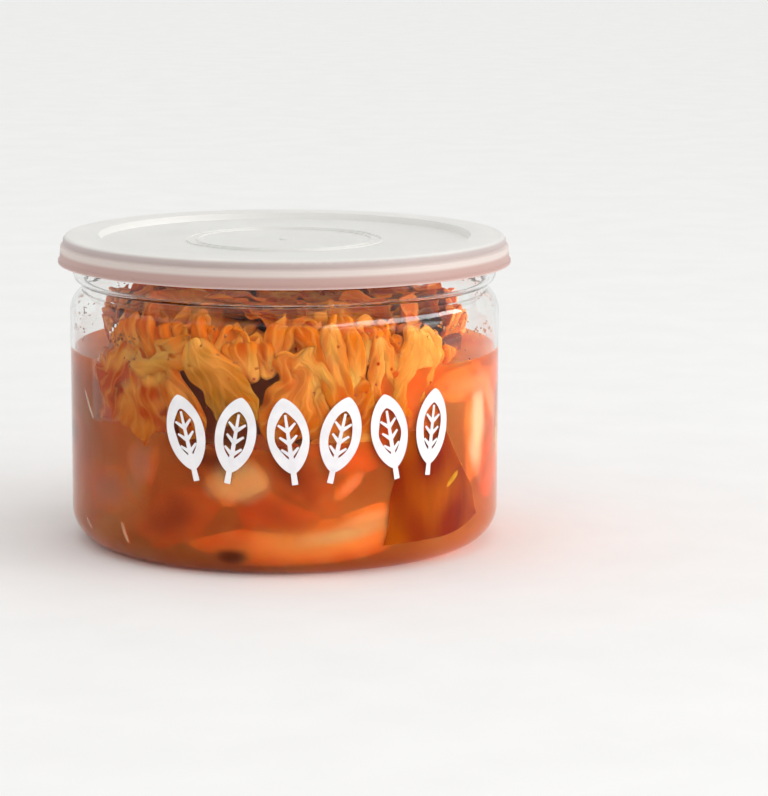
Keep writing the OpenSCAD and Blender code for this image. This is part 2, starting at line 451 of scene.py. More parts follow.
def sunk_piece(rng, angle, z, length, width, tilt, colour, depth=0.6):
    """A piece in the brine near the wall: the square (u, v) mapped to a disc, stretched to an uneven
    oval, flat towards the wall and round behind."""
    u, v = np.meshgrid(np.linspace(-1, 1, 15), np.linspace(-1, 1, 21), indexing="ij")
    disc_x, disc_y = u * np.sqrt(1 - v ** 2 / 2), v * np.sqrt(1 - u ** 2 / 2)
    edge = np.minimum(np.hypot(disc_x, disc_y), 1)
    grow = 1 + 0.08 * waves(disc_x * 6, disc_y * 6, rng, 7)
    x, y = disc_x * grow * width / 2, disc_y * grow * length / 2
    thickness = 0.1 + min(width, 5) * 0.5 * np.sqrt(1 - edge ** 2)
    middle = place_on_wall(x, y, depth + thickness / 2 + 0.3 * edge ** 2, angle, z, tilt)
    shade = 1 + 0.10 * waves(x, y, rng, 5) + 0.05 * waves(x * 3, y, rng, 3)
    return {"middle": middle, "thickness": thickness, "uv": np.stack([x, y], -1),
            "tone": np.array(linear(colour)[:3]) * shade[..., None]}


def tint_brine(obj, rng, pieces):
    """Colours the brine's side in a soft patch over each piece that lies close behind it: an uneven
    oval that fades over the outer share fade of its radius. The attribute's alpha is the cover."""
    place = np.empty(len(obj.data.vertices) * 3, np.float32)
    obj.data.vertices.foreach_get("co", place)
    x, y, height = place.reshape(-1, 3).T / MM
    heading = np.degrees(np.arctan2(x, -y))
    tone = np.zeros((len(x), 4))
    for angle, z, length, width, tilt, colour, fade in pieces:
        across = np.radians((heading - angle + 180) % 360 - 180) * BRINE_R
        up = height - z
        c, s = np.cos(np.radians(tilt)), np.sin(np.radians(tilt))
        along_x, along_y = across * c - up * s, across * s + up * c
        edge = np.hypot(along_x / (width / 2), along_y / (length / 2))
        uneven = 0.06 + 0.3 * max(fade - 0.6, 0)
        edge = edge * (1 + uneven * waves(along_x, along_y, rng, 7))
        cover = 0.9 * (1 - step(edge, 1 - fade, 1.05))[:, None]
        total = cover + tone[:, 3:] * (1 - cover)
        tone[:, :3] += (np.array(linear(colour)[:3]) - tone[:, :3]) * cover / np.maximum(total, 1e-6)
        tone[:, 3:] = total
    set_tone(obj.data, tone)


# ---------- materials ----------

def pet_material(name, ior, mirror, relief):
    """Blow-moulded PET: water-clear, glossy, with the faint unevenness that blowing leaves. Brine on
    its inner face takes one of its two reflections, so there it has a lower ior, mirror and relief."""
    material, tree = new_material(name)
    place = add(tree, "TexCoord")
    uneven = add(tree, "TexNoise", {"Vector": place.outputs["Object"], "Scale": 90.0, "Detail": 1.0})
    bump = add(tree, "Bump", {"Height": uneven.outputs["Fac"], "Strength": relief, "Distance": 0.0004})
    shader = add(tree, "BsdfPrincipled", {
        "Base Color": "#FBFCFB", "Roughness": 0.01, "IOR": ior, "Transmission Weight": 1.0,
        "Specular Tint": (mirror, mirror, mirror, 1.0), "Normal": bump})
    finish(tree, shader, "#F6F6F5")
    return material


def ldpe_material():
    """Injection-moulded LDPE: milky and waxy, light glows through it, with a satin skin. Its skirt is thin,
    and the jar's lip and the filling behind it are painted on as darker pinkish bands of painted shade."""
    material, tree = new_material("ldpe_injection_moulded")
    place = add(tree, "TexCoord")
    grain = add(tree, "TexNoise", {"Vector": place.outputs["Object"], "Scale": 1800.0, "Detail": 2.0})
    flow = add(tree, "TexNoise", {"Vector": place.outputs["Object"], "Scale": 60.0, "Detail": 2.0})
    tint = add(tree, "ValToRGB", {"Fac": flow.outputs["Fac"]}, stops=[(0.3, "#F4F4F1"), (0.7, "#F9F9F6")])
    # Painted shade in bands over the skirt's height, wherever the radius is that of the skirt: the darker
    # pinkish bands stand in for the jar's lip and the filling seen through it
    split = add(tree, "SeparateXYZ", {"Vector": place.outputs["Object"]})
    height = add(tree, "MapRange", {"Value": split.outputs["Z"], "From Min": SKIRT_Z * MM,
                                    "From Max": LID_TOP * MM})
    skirt_painted_shade = add(tree, "ValToRGB", {"Fac": height}, stops=[
        (0.0, "#ECD2CA"), (0.07, "#CBA69E"), (0.36, "#CDAAA2"), (0.48, "#EADED7"),
        (0.62, "#E8DAD4"), (0.74, "#C6B4B1"), (0.90, "#CBBDBB"), (0.99, "#F1F1EE")])
    flat = add(tree, "VectorMath", {0: place.outputs["Object"], 1: (1.0, 1.0, 0.0)}, operation="MULTIPLY")
    out = add(tree, "VectorMath", {0: flat}, operation="LENGTH")
    skirt = add(tree, "MapRange", {"Value": out.outputs["Value"], "From Min": (BODY_R + 0.6) * MM,
                                   "From Max": (BODY_R + 1.4) * MM})
    colour = add(tree, "Mix", {"Factor": skirt, "A": tint, "B": skirt_painted_shade}, data_type="RGBA")
    rough = add(tree, "MapRange", {"Value": grain.outputs["Fac"], "To Min": 0.34, "To Max": 0.46})
    bump = add(tree, "Bump", {"Height": grain.outputs["Fac"], "Strength": 0.12, "Distance": 0.0001})
    shader = add(tree, "BsdfPrincipled", {
        "Base Color": colour.outputs["Result"], "Roughness": rough, "IOR": 1.51,
        "Transmission Weight": 0.30, "Normal": bump})
    finish(tree, shader, "#E4DCD4")
    return material


def brine_material(settings):
    """Chilli brine: cloudy with starch and chilli oil, so what is near shows and what is deep blurs.
    It meets the wall and not air, so its IOR is only the little that scatters the view."""
    material, tree = new_material("chilli_brine_cloudy")
    place = add(tree, "TexCoord")
    cloud = add(tree, "TexNoise", {
        "Vector": place.outputs["Object"], "Scale": 45.0, "Detail": 4.0, "Distortion": 0.8})
    # Patches over the sunk pieces, from tint_brine()
    tone = add(tree, "Attribute", attribute_name="tone")
    tint = add(tree, "ValToRGB", {"Fac": cloud.outputs["Fac"]},
               stops=[(0.30, "#E46C24"), (0.52, "#F48432"), (0.72, "#FA9E4C")])
    colour = add(tree, "Mix", {"Factor": tone.outputs["Alpha"], "A": tint,
                               "B": tone.outputs["Color"]}, data_type="RGBA")
    shader = add(tree, "BsdfPrincipled", {
        "Base Color": colour.outputs["Result"], "Roughness": 0.55, "IOR": 1.10,
        "Transmission Weight": settings.brine_clarity, "Specular IOR Level": 0.0,
        "Subsurface Weight": 0.5, "Subsurface Radius": (0.008, 0.0028, 0.0010), "Subsurface Scale": 1.0})
    finish(tree, shader, "#F4A060")
    return material


def leaf_material(name, shine):
    """Salted and fermented cabbage: limp, wet and half translucent. Pale veins spread from its rib,
    fine fibres run along it, and chilli flecks cling to it. Its shine is 0 where it lies on the wall."""
    material, tree = new_material(name)
    tone = add(tree, "Attribute", attribute_name="tone")
    flat = add(tree, "UVMap", uv_map="flat")
    place = add(tree, "TexCoord")
    # Veins leave the rib at a slope of 0.4: their bands follow |x| - 0.4 y and are 3 mm apart
    split = add(tree, "SeparateXYZ", {"Vector": flat})
    side = add(tree, "Math", {0: split.outputs["X"]}, operation="ABSOLUTE")
    slope = add(tree, "Math", {0: split.outputs["Y"], 1: -0.4, 2: side}, operation="MULTIPLY_ADD")
    along = add(tree, "CombineXYZ", {"X": slope, "Y": split.outputs["Y"]})
    band = add(tree, "TexWave", {"Vector": along, "Scale": 0.105, "Distortion": 3.5,
                                 "Detail": 2.0, "Detail Scale": 1.6})
    vein = add(tree, "MapRange", {"Value": band.outputs["Fac"], "From Min": 0.62, "From Max": 1.0})
    # Fibres 1.6 mm apart that run 8 mm along the leaf
    stretch = add(tree, "Mapping", {"Vector": flat, "Scale": (0.62, 0.12, 1.0)})
    fibre = add(tree, "TexNoise", {"Vector": stretch, "Scale": 1.0, "Detail": 2.0, "Distortion": 0.8})
    light = add(tree, "MapRange", {"Value": fibre.outputs["Fac"], "From Min": 0.3, "From Max": 0.7,
                                   "To Min": 0.92, "To Max": 1.08})
    fibred = add(tree, "VectorMath", {0: tone.outputs["Color"], "Scale": light}, operation="SCALE")
    strength = add(tree, "Math", {0: vein, 1: 0.26}, operation="MULTIPLY")
    veined = add(tree, "Mix", {"Factor": strength, "A": fibred, "B": "#F6AA4C"}, data_type="RGBA")
    # Chilli flecks about 0.6 mm across, one to each 3 mm
    cell = add(tree, "TexVoronoi", {"Vector": place.outputs["Object"], "Scale": 330.0})
    fleck = add(tree, "MapRange", {"Value": cell.outputs["Distance"], "From Min": 0.10,
                                   "From Max": 0.18, "To Min": 1.0, "To Max": 0.0})
    chosen = add(tree, "SeparateColor", {"Color": cell.outputs["Color"]})
    some = add(tree, "Math", {0: chosen, 1: 0.78}, operation="GREATER_THAN")
    amount = add(tree, "Math", {0: fleck, 1: some}, operation="MULTIPLY")
    colour = add(tree, "Mix", {"Factor": amount, "A": veined.outputs["Result"],
                               "B": "#B8320C"}, data_type="RGBA")
    relief = add(tree, "Math", {0: vein, 1: fibre.outputs["Fac"]}, operation="ADD")
    bump = add(tree, "Bump", {"Height": relief, "Strength": 0.35, "Distance": 0.0005})
    shader = add(tree, "BsdfPrincipled", {
        "Base Color": colour.outputs["Result"], "Roughness": 0.30, "IOR": 1.38, "Specular IOR Level": shine,
        "Subsurface Weight": 0.4, "Subsurface Radius": (0.0024, 0.0009, 0.0004), "Subsurface Scale": 1.0,
        "Normal": bump})
    finish(tree, shader)
    return material


def sunk_material():
    """Cabbage stem, radish and garlic steeped in chilli brine: waxy, stained and faintly streaked."""
    material, tree = new_material("vegetable_steeped")
    tone = add(tree, "Attribute", attribute_name="tone")
    flat = add(tree, "UVMap", uv_map="flat")
    # Grain of the stem: soft streaks 2 mm apart and 9 mm long
    stretch = add(tree, "Mapping", {"Vector": flat, "Scale": (0.5, 0.11, 1.0)})
    grain = add(tree, "TexNoise", {"Vector": stretch, "Scale": 1.0, "Detail": 2.0})
    light = add(tree, "MapRange", {"Value": grain.outputs["Fac"], "From Min": 0.3, "From Max": 0.7,
                                   "To Min": 0.86, "To Max": 1.14})
    colour = add(tree, "VectorMath", {0: tone.outputs["Color"], "Scale": light}, operation="SCALE")
    shader = add(tree, "BsdfPrincipled", {
        "Base Color": colour, "Roughness": 0.6, "IOR": 1.38, "Specular IOR Level": 0.0,
        "Subsurface Weight": 0.5, "Subsurface Radius": (0.003, 0.0012, 0.0005), "Subsurface Scale": 1.0})
    finish(tree, shader)
    return material


def core_material():
    """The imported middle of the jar, deep in brine: blurred cabbage, orange over dark red-brown."""
    material, tree = new_material("cabbage_packed_in_brine")
    place = add(tree, "TexCoord")
    lumps = add(tree, "TexNoise", {
        "Vector": place.outputs["Object"], "Scale": 60.0, "Detail": 3.0, "Distortion": 1.2})
    colour = add(tree, "ValToRGB", {"Fac": lumps.outputs["Fac"]},
                 stops=[(0.32, "#8A3010"), (0.46, "#C85A1E"), (0.58, "#E88A3A"), (0.72, "#F5C07A")])
    # Above the brine it is the shade between the leaves
    split = add(tree, "SeparateXYZ", {"Vector": place.outputs["Object"]})
    above = add(tree, "MapRange", {"Value": split.outputs["Z"], "From Min": (BRINE_TOP - 1) * MM,
                                   "From Max": (BRINE_TOP + 2) * MM})
    shaded = add(tree, "Mix", {"Factor": above, "A": colour, "B": "#6A2408"}, data_type="RGBA")
    bump = add(tree, "Bump", {"Height": lumps.outputs["Fac"], "Strength": 0.6, "Distance": 0.003})
    shader = add(tree, "BsdfPrincipled", {
        "Base Color": shaded.outputs["Result"], "Roughness": 0.5, "IOR": 1.38, "Normal": bump})
    finish(tree, shader)
    return material


def plain_material(name, scale, detail, dark, light, surface, lamps_through=None):
    """A material whose colour drifts between two, each a (place, colour) on its noise. surface holds
    its other values."""
    material, tree = new_material(name)
    place = add(tree, "TexCoord")
    drift = add(tree, "TexNoise", {"Vector": place.outputs["Object"], "Scale": scale, "Detail": detail})
    colour = add(tree, "ValToRGB", {"Fac": drift.outputs["Fac"]}, stops=[dark, light])
    shader = add(tree, "BsdfPrincipled", {"Base Color": colour, **surface})
    finish(tree, shader, lamps_through)
    return material


def flake_material():
    """Coarse dried chilli: glossy brick-red skin, lighter where the flesh shows."""
    return plain_material("chilli_dried_flaked", 700.0, 2.0, (0.35, "#8E1A08"), (0.6, "#C2380F"),
                          {"Roughness": 0.3, "IOR": 1.45})


def droplet_material():
    """Brine splashed on the bare wall: clear orange drops with a bright glint."""
    return plain_material("brine_droplets", 400.0, 2.0, (0.35, "#C4661C"), (0.6, "#F0B060"),
                          {"Roughness": 0.08, "IOR": 1.34, "Transmission Weight": 0.6}, "#F4C090")


def ink_material():
    """Screen-printed ink: flat opaque white with a soft sheen and slightly uneven cover."""
    return plain_material("ink_screen_printed_white", 260.0, 3.0, (0.35, "#ECE9EC"), (0.65, "#F6F4F5"),
                          {"Roughness": 0.45, "IOR": 1.5})


def paper_material():
    """Matt white paper sweep of a studio, with a faint unevenness from its fibres."""
    return plain_material("paper_sweep_matt", 40.0, 3.0, (0.3, "#F3F3F2"), (0.7, "#F6F6F5"),
                          {"Roughness": 0.7, "Specular IOR Level": 0.0})


# ---------- settings ----------

class KimchiJarSettings(bpy.types.PropertyGroup):
    brine_clarity: bpy.props.FloatProperty(
        name="Brine clarity", description="How much light the brine lets through", default=0.62,
        min=0.5, max=1.0, subtype="FACTOR")
    heap_leaves: bpy.props.IntProperty(
        name="Leaves in the heap", description="Pieces of leaf above the brine", default=62, min=10, max=80)
    side_leaves: bpy.props.IntProperty(
        name="Leaves at the wall", description="Pieces pressed on the wall away from the front", default=26,
        min=0, max=40)
    chunks: bpy.props.IntProperty(
        name="Sunk pieces", description="Pieces in the brine away from the front", default=40, min=0, max=80)
    flakes: bpy.props.IntProperty(
        name="Chilli flakes", description="Flakes floating at the wall", default=380, min=0, max=1500)
    droplets: bpy.props.IntProperty(
        name="Droplets", description="Splashes of brine on the bare wall", default=320, min=0, max=1500)
    stroke: bpy.props.FloatProperty(
        name="Print stroke", description="Width of the printed line", default=0.0019, unit="LENGTH")
    seed: bpy.props.IntProperty(
        name="Seed", description="Start of the random numbers", default=7)


# ---------- operators ----------

class KIMCHIJAR_OT_jar(bpy.types.Operator):
    """Build the jar's wall as one turned shell, wetted where brine and leaves touch it"""
    bl_idname = "kimchijar.jar"
    bl_label = "Jar"

    def execute(self, context):
        inside = (INSIDE[0][::-1], INSIDE[1][::-1])
        radius, height = profile(OUTSIDE, inside)
        bare = pet_material("pet_blow_moulded", ior=1.42, mirror=0.6, relief=0.06)
        jar = lathe("jar_wall", radius, height, 320, bare)
        jar.data.materials.append(pet_material("pet_filled", ior=1.30, mirror=0.4, relief=0.04))
        centre = np.empty(len(jar.data.polygons) * 3, np.float32)
        jar.data.polygons.foreach_get("center", centre)
        x, y, z = centre.reshape(-1, 3).T / MM
        wet = (np.hypot(x, y) > FOOT_R - FOOT_W) & (z < filled_to(np.arctan2(x, -y)))
        jar.data.polygons.foreach_set("material_index", wet.astype(np.int32))
        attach(jar, "root")
        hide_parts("jar")
        return {"FINISHED"}


def filled_to(angle):
    """Height up to which brine or leaves touch the wall: the brine's level, and higher at the front
    where leaves are pressed on it."""
    a = np.degrees(angle)
    return BRINE_TOP + 11.0 * step(a, -60, -45) * (1 - step(a, 35, 55))


class KIMCHIJAR_OT_lid(bpy.types.Operator):
    """Give the lid's solid its milky LDPE"""
    bl_idname = "kimchijar.lid"
    bl_label = "Lid"

    def execute(self, context):
        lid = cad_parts["lid"]
        lid.data.materials.clear()
        lid.data.materials.append(ldpe_material())
        return {"FINISHED"}


def pocket(angle, z, r):
    """How far the brine stands back from the wall in the trapped air behind the front leaves: up to
    7 mm between 60 degrees left and 24 degrees right, above a wavy edge about 31 mm up."""
    a = np.degrees((angle + np.pi) % (2 * np.pi) - np.pi)
    floor = 31.5 + 1.3 * np.sin(np.radians(a * 6)) - 1.2 * np.sin(np.radians(a * 2.2 + 40))
    side = step(a, -62, -54) * (1 - step(a, 18, 26))
    return -7.0 * side * step(z, floor - 0.5, floor + 0.5) * step(r, INNER_R - 9, INNER_R - 1)


class KIMCHIJAR_OT_brine(bpy.types.Operator):
    """Build the brine, which reaches just into the wall"""
    bl_idname = "kimchijar.brine"
    bl_label = "Brine"

    def execute(self, context):
        bottom = BRINE_LOW - 0.1
        corner = CORNER - WALL + 0.1
        centre = BRINE_R - corner
        radius, height = profile(
            (np.linspace(0, PUSH_R, 12), np.full(12, bottom + PUSH_UP)),
            (PUSH_R + PUSH_SLOPE, bottom),
            arc(centre, bottom + corner, corner, -90, 0, 16),
            (np.full(60, BRINE_R), np.linspace(bottom + corner + 0.4, BRINE_TOP - 0.3, 60)),
            (BRINE_R - 0.1, BRINE_TOP),
            (np.linspace(BRINE_R - 1, 0, 12), np.full(12, BRINE_TOP)))
        settings = context.scene.kimchi_jar
        brine = lathe("brine_body", radius, height, 288, brine_material(settings), pocket)
        tint_brine(brine, np.random.default_rng(settings.seed + 8), sunk_rows(settings))
        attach(brine, "root")
        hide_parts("brine")
        return {"FINISHED"}


class KIMCHIJAR_OT_core(bpy.types.Operator):
    """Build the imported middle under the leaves"""
    bl_idname = "kimchijar.core"
    bl_label = "Core"

    def execute(self, context):
        rng = np.random.default_rng(context.scene.kimchi_jar.seed)
        core_r = 41.0
        lumps = [(rng.integers(3, 14), rng.uniform(10, 24), rng.uniform(0, 6), rng.uniform(0, 6))
                 for _ in range(9)]

        def lumpy(angle, z, r):
            """Sum of waves that go round the core a whole number of times, and up it."""
            total = sum(np.cos(n * angle + p) * np.cos(z * 2 * np.pi / size + q) for n, size, p, q in lumps)
            return 0.9 * total * step(r, 0, 20)

        rise = np.linspace(core_r, 0, 26)
        radius, height = profile(
            (np.linspace(0, core_r - 5, 10), np.full(10, BRINE_LOW + PUSH_UP + 1.5)),
            arc(core_r - 5, BRINE_LOW + PUSH_UP + 6.5, 5, -90, 0, 8),
            (np.full(30, core_r), np.linspace(11, BRINE_TOP - 1, 30)),
            (rise, heap_height(rise) - 4.0))
        core = lathe("kimchi_core", radius, height, 160, core_material(), lumpy)
        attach(core, "root")
        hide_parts("kimchi")
        return {"FINISHED"}


# Leaves pressed on the front wall: angle from the front, height, length, width, tilt of the tip from
# upright, rib, green, stain, spread
FRONT_LEAVES = [
    (-46, 40.0, 23, 27, 184, 0.15, 0.15, 1.30, 0.1),
    (-33, 49.5, 22, 8, 80, 0.9, 0.0, 0.15, 0.0),
    (-29, 40.5, 25, 8, 148, 0.5, 0.0, 0.70, 0.2),
    (-17, 44.5, 23, 12, 142, 0.4, 1.0, 0.10, 0.2),
    (4, 42.0, 22, 24, 192, 0.5, 0.0, 0.75, 0.6),
    (13, 47.5, 20, 8, 170, 0.6, 0.0, 0.5, 0.2),
    (18.5, 48.0, 17, 5, -4, 1.0, 0.0, 0.0, 0.0),
    (26, 45.0, 20, 8, 176, 0.5, 0.0, 0.45, 0.3),
    (37, 45.0, 23, 22, 186, 0.5, 0.0, 0.15, 0.5),
    (17, 36.5, 14, 22, 70, 0.3, 0.0, 0.8, 0.0),
]

# The heap's upper outline at the front wall: angles, and its height there
CREST = ([-62, -48, -20, -5, 14, 27, 44, 60], [50.5, 55.5, 56.5, 54.0, 58.0, 55.0, 51.5, 48.5])

# Curled edges behind the front wall: angle, height of the foot, length, rise, tilt, depth behind it
FRONT_FRILLS = [
    (-44, 49.5, 18, 6.0, 6, 2.2), (-25, 50.5, 17, 4.5, 12, 2.2), (-9, 48.5, 15, 6.0, -14, 2.2),
    (3, 49.5, 13, 7.0, 16, 2.2), (14, 51.5, 15, 5.0, -10, 2.0), (24, 48.5, 18, 5.5, 8, 2.0),
    (37, 47.0, 16, 4.5, -6, 2.2), (-33, 53.0, 20, 4.5, -8, 5.0), (8, 54.0, 20, 4.5, 6, 4.5),
    (27, 52.0, 18, 4.5, -4, 5.0),
]

# Pieces sunk in the brine at the front: angle, height, length, width, tilt, colour, fade
FRONT_SUNK = [
    (-30, 13.0, 22, 12, 60, "#C05C24", 0.95),
    (-20, 27.0, 24, 7, 100, "#A84818", 0.95),
    (2, 24.0, 24, 12, 130, "#B44E1A", 0.95),
    (-2, 15.0, 20, 11, 110, "#CC6426", 0.95),
    (18, 30.0, 20, 14, 80, "#F07C22", 0.95),
    (-12, 22.3, 17, 12, 84, "#FCC888", 0.50),
    (-41, 24.0, 15, 10, 20, "#E8A07A", 0.80),
    (-53, 17.0, 22, 11, 80, "#E09870", 0.85),
    (62.5, 31.5, 30, 10, 2, "#FFE4C4", 0.80),
    (59, 40.5, 32, 8, 94, "#FCB070", 0.95),
    (6, 8.0, 52, 10, 88, "#FCB060", 0.85),
    (14, 9.8, 28, 5, 82, "#FFD08C", 0.80),
    (-14, 5.0, 10, 4.6, 85, "#7C3414", 0.8),
    (16.5, 21.0, 10, 3.6, 48, "#F8AC70", 0.75),
    (22, 13.2, 18, 5.0, 77, "#FFBC7C", 0.80),
]

# Colours of the random sunk pieces, from pale garlic to soaked leaf
SUNK_COLOURS = ["#E09C58", "#C88250", "#E67C2E", "#B85420", "#F0B880"]

# Thin crisp slivers against the wall: angle, height, length, width, tilt, colour
FRONT_SLIVERS = [
    (-47, 7.8, 6, 1.5, -25, "#F0B08C"),
    (-65, 7.2, 4, 1.2, -50, "#F0B490"),
    (-64, 35.5, 9, 0.9, -38, "#F4D0B4"),
]


def deep_leaf(rng):
    """A leaf soaked dark orange, flat on the wall right of the middle: 13 mm wide at its top edge and
    31 mm at its foot. Its left edge is crisp and straight, its right one slopes out in a curve."""
    u, v = np.meshgrid(np.linspace(0, 1, 41), np.linspace(0, 1, 37), indexing="ij")
    left = -15.8 + 5.2 * v + 0.25 * waves(v * 26, 0 * v, rng, 9)
    right = 15.0 - 13.2 * v ** 1.3 + 0.5 * waves(v * 26, 0 * v, rng, 8)
    x = left + (right - left) * u
    y = 26.0 * v - 12.8 + 3.2 * np.clip(2 * u - 1, 0, 1) ** 2 * (1 - v) - 1.2 * u * v
    shade = 0.5 + 0.5 * waves(x, y * 0.4, rng, 8)
    colour = blend_colour(np.array(linear("#922200")[:3]), np.array(linear("#D05800")[:3]), shade * 0.7)
    return {"middle": place_on_wall(x, y, -0.05 + 0 * x, 44, 19.5, 0), "thickness": np.full(x.shape, 0.1),
            "uv": np.stack([x, y], -1), "tone": colour}


def sunk_rows(settings):
    """The front's sunk pieces, then random ones round the rest of the jar, as rows like FRONT_SUNK."""
    rng = np.random.default_rng(settings.seed + 6)
    rows = list(FRONT_SUNK)
    for _ in range(settings.chunks):
        rows.append((rng.uniform(72, 288), rng.uniform(6, 38), rng.uniform(9, 26), rng.uniform(5, 12),
                     rng.uniform(20, 160), rng.choice(SUNK_COLOURS), rng.uniform(0.6, 0.9)))
    return rows


class KIMCHIJAR_OT_sunk(bpy.types.Operator):
    """Build the pieces of stem, radish and garlic that show through the cloudy brine"""
    bl_idname = "kimchijar.sunk"
    bl_label = "Sunk pieces"

    def execute(self, context):
        rng = np.random.default_rng(context.scene.kimchi_jar.seed + 3)
        pieces = [deep_leaf(rng), sunk_piece(rng, 49.5, 19.7, 9, 2.6, 54, "#FFA018", -0.2)]
        pieces += [sunk_piece(rng, *row, -0.05) for row in FRONT_SLIVERS]
        pieces += [sunk_piece(rng, *row[:6]) for row in sunk_rows(context.scene.kimchi_jar)]
        sunk = join_shells("pieces_in_brine", pieces, sunk_material())
        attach(sunk, "root")
        return {"FINISHED"}


class KIMCHIJAR_OT_wall_leaves(bpy.types.Operator):
    """Build the cabbage leaves that press against the wall"""
    bl_idname = "kimchijar.wall_leaves"
    bl_label = "Leaves at the wall"

    def execute(self, context):
        rng = np.random.default_rng(context.scene.kimchi_jar.seed + 1)
        front = [wall_leaf(rng, *row) for row in FRONT_LEAVES]
        for angle in np.arange(-52, 50, 3.6):
            top = np.interp(angle, *CREST) - rng.uniform(2.5, 5.5)
            front.append(wall_leaf(
                rng, angle + rng.uniform(-1.5, 1.5), top, rng.uniform(7, 12), rng.uniform(5, 9),
                rng.uniform(-40, 40), rng.choice([0.0, 0.3, 0.7]), 0.0, rng.uniform(0.3, 1.1),
                rng.uniform(0, 0.5), rng.uniform(0.2, 1.8), fold=1.7, nu=17, nv=19))
        sides = []
        for _ in range(context.scene.kimchi_jar.side_leaves):
            angle, z = rng.uniform(76, 285), rng.uniform(26, 46)
            # Left and right the wall above the brine stays bare
            z -= 13.0 * float(step(abs(angle - 180), 40, 60))
            sides.append(wall_leaf(
                rng, angle, z, rng.uniform(16, 27), rng.uniform(8, 20),
                rng.uniform(110, 250), rng.choice([0.1, 0.3, 0.8]), rng.choice([0, 0, 0.6]),
                rng.uniform(0.2, 0.9), rng.uniform(0, 0.5), rng.choice([0, 0, 0.6]), nu=17, nv=26))
        leaves = join_shells("leaves_at_wall", front + sides, leaf_material("cabbage_on_wall", 0.0))
        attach(leaves, "root")
        return {"FINISHED"}


class KIMCHIJAR_OT_heap(bpy.types.Operator):
    """Build the crumpled leaves heaped above the brine, and their curled edges at the wall"""
    bl_idname = "kimchijar.heap"
    bl_label = "Heap"

    def execute(self, context):
        rng = np.random.default_rng(context.scene.kimchi_jar.seed + 2)
        sheets = []
        for i in range(context.scene.kimchi_jar.heap_leaves):
            rib = rng.choice([0.0, 0.2, 0.5, 0.9])
            sheet = leaf_sheet(rng, rng.uniform(17, 30), rng.uniform(9, 18), rib=rib,
                               crumple=rng.uniform(0.8, 1.4), green=rng.choice([0, 0, 0, 0.5]),
                               stain=rng.uniform(0.3, 1.0))
            around = 2.4 * i + rng.uniform(-0.4, 0.4)
            out = (HEAP_R - 3) * math.sqrt(rng.uniform(0.02, 1.0))
            lean = 0.9 * (out / HEAP_R) ** 3
            spin = rng.uniform(0, 2 * np.pi)
            points = turn(sheet["middle"], spin, rng.normal(0, 0.35), rng.normal(0, 0.35))
            points = turn(points, 0, lean, 0) + [0, -out, heap_height(out) - rng.uniform(0.2, 2.2)]
            sheet["middle"] = keep_inside(turn(points, around, 0, 0))
            sheets.append(sheet)
        wet = leaf_material("cabbage_fermented_wet", 0.06)
        heap = join_shells("leaves_in_heap", sheets, wet)
        frills = [frill(rng, *row, pitch=rng.uniform(4.5, 7.5), throw=rng.uniform(1.1, 2.0))
                  for row in FRONT_FRILLS]
        for angle in np.arange(72, 300, 19):
            frills.append(frill(rng, angle + rng.uniform(-4, 4), rng.uniform(47, 50), rng.uniform(16, 23),
                                rng.uniform(5, 7), rng.uniform(-12, 12), depth=7.0,
                                pitch=rng.uniform(4.5, 7.5), throw=rng.uniform(1.1, 2.0),
                                stain=rng.uniform(0.4, 1.0)))
        edges = join_shells("curled_edges", frills, wet)
        for piece in (heap, edges):
            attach(piece, "root")
        return {"FINISHED"}


def specks(name, rng, angle, z, size, thick, material):
    """Small plates flat on the inside of the wall, one for each angle and height: two six-sided rings,
    the inner one a fifth smaller, stretched and turned at random and capped."""
    count = len(angle)
    around = np.arange(6) * np.pi / 3
    rim = np.stack([np.cos(around), np.sin(around)], -1)
    plate = np.concatenate([np.c_[rim * 0.8, np.full(6, -1.0)], np.c_[rim, np.full(6, 1.0)]])
    stretch = np.stack([size, size * rng.uniform(0.5, 1.0, count), np.full(count, thick)], -1)
    local = plate[None] * stretch[:, None] * (1 + 0.2 * rng.normal(size=(count, 12, 1)))
    spin = rng.uniform(0, np.pi, count)[:, None]
    x = local[..., 0] * np.cos(spin) - local[..., 1] * np.sin(spin)
    y = local[..., 0] * np.sin(spin) + local[..., 1] * np.cos(spin)
    a = np.radians(angle)[:, None] + x / INNER_R
    height = z[:, None] + y
    r = wall_radius(height) - thick + local[..., 2] * 0.9
    points = np.stack([r * np.sin(a), -r * np.cos(a), height], -1)
    ring = np.arange(6)
    side = np.stack([ring, ring + 6, (ring + 1) % 6 + 6, (ring + 1) % 6], -1)
    caps = np.array([[0, 1, 2, 3], [0, 3, 4, 5], [9, 8, 7, 6], [11, 10, 9, 6]])
    faces = (np.concatenate([side, caps])[None] + 12 * np.arange(count)[:, None, None]).reshape(-1, 4)
    piece = build_mesh(name, points.reshape(-1, 3), faces, material=material)
    weld(piece)
    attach(piece, "root")
    return piece


class KIMCHIJAR_OT_flakes(bpy.types.Operator):
    """Scatter chilli flakes in the brine at the wall, and droplets of brine on the wall above it"""
    bl_idname = "kimchijar.flakes"
    bl_label = "Flakes and droplets"

    def execute(self, context):
        settings = context.scene.kimchi_jar
        rng = np.random.default_rng(settings.seed + 4)
        count = settings.flakes
        flakes = specks("chilli_flakes", rng, rng.uniform(0, 360, count), rng.uniform(9, 50, count),
                        rng.uniform(0.15, 0.5, count) ** 1.3, 0.08, flake_material())
        # Droplets lie in clusters, most of them low on the shoulder
        count = settings.droplets
        clusters = 22
        cluster = rng.uniform(0, 360, clusters)
        spot = rng.integers(0, clusters, count)
        angle = cluster[spot] + rng.normal(0, 5.0, count)
        height = 49 + 13 * rng.uniform(0, 1, clusters)[spot] + rng.normal(0, 1.0, count)
        drops = specks("brine_droplets", rng, angle, np.clip(height, 48, 63), rng.uniform(0.15, 0.45, count),
                       0.12, droplet_material())
        return {"FINISHED"}


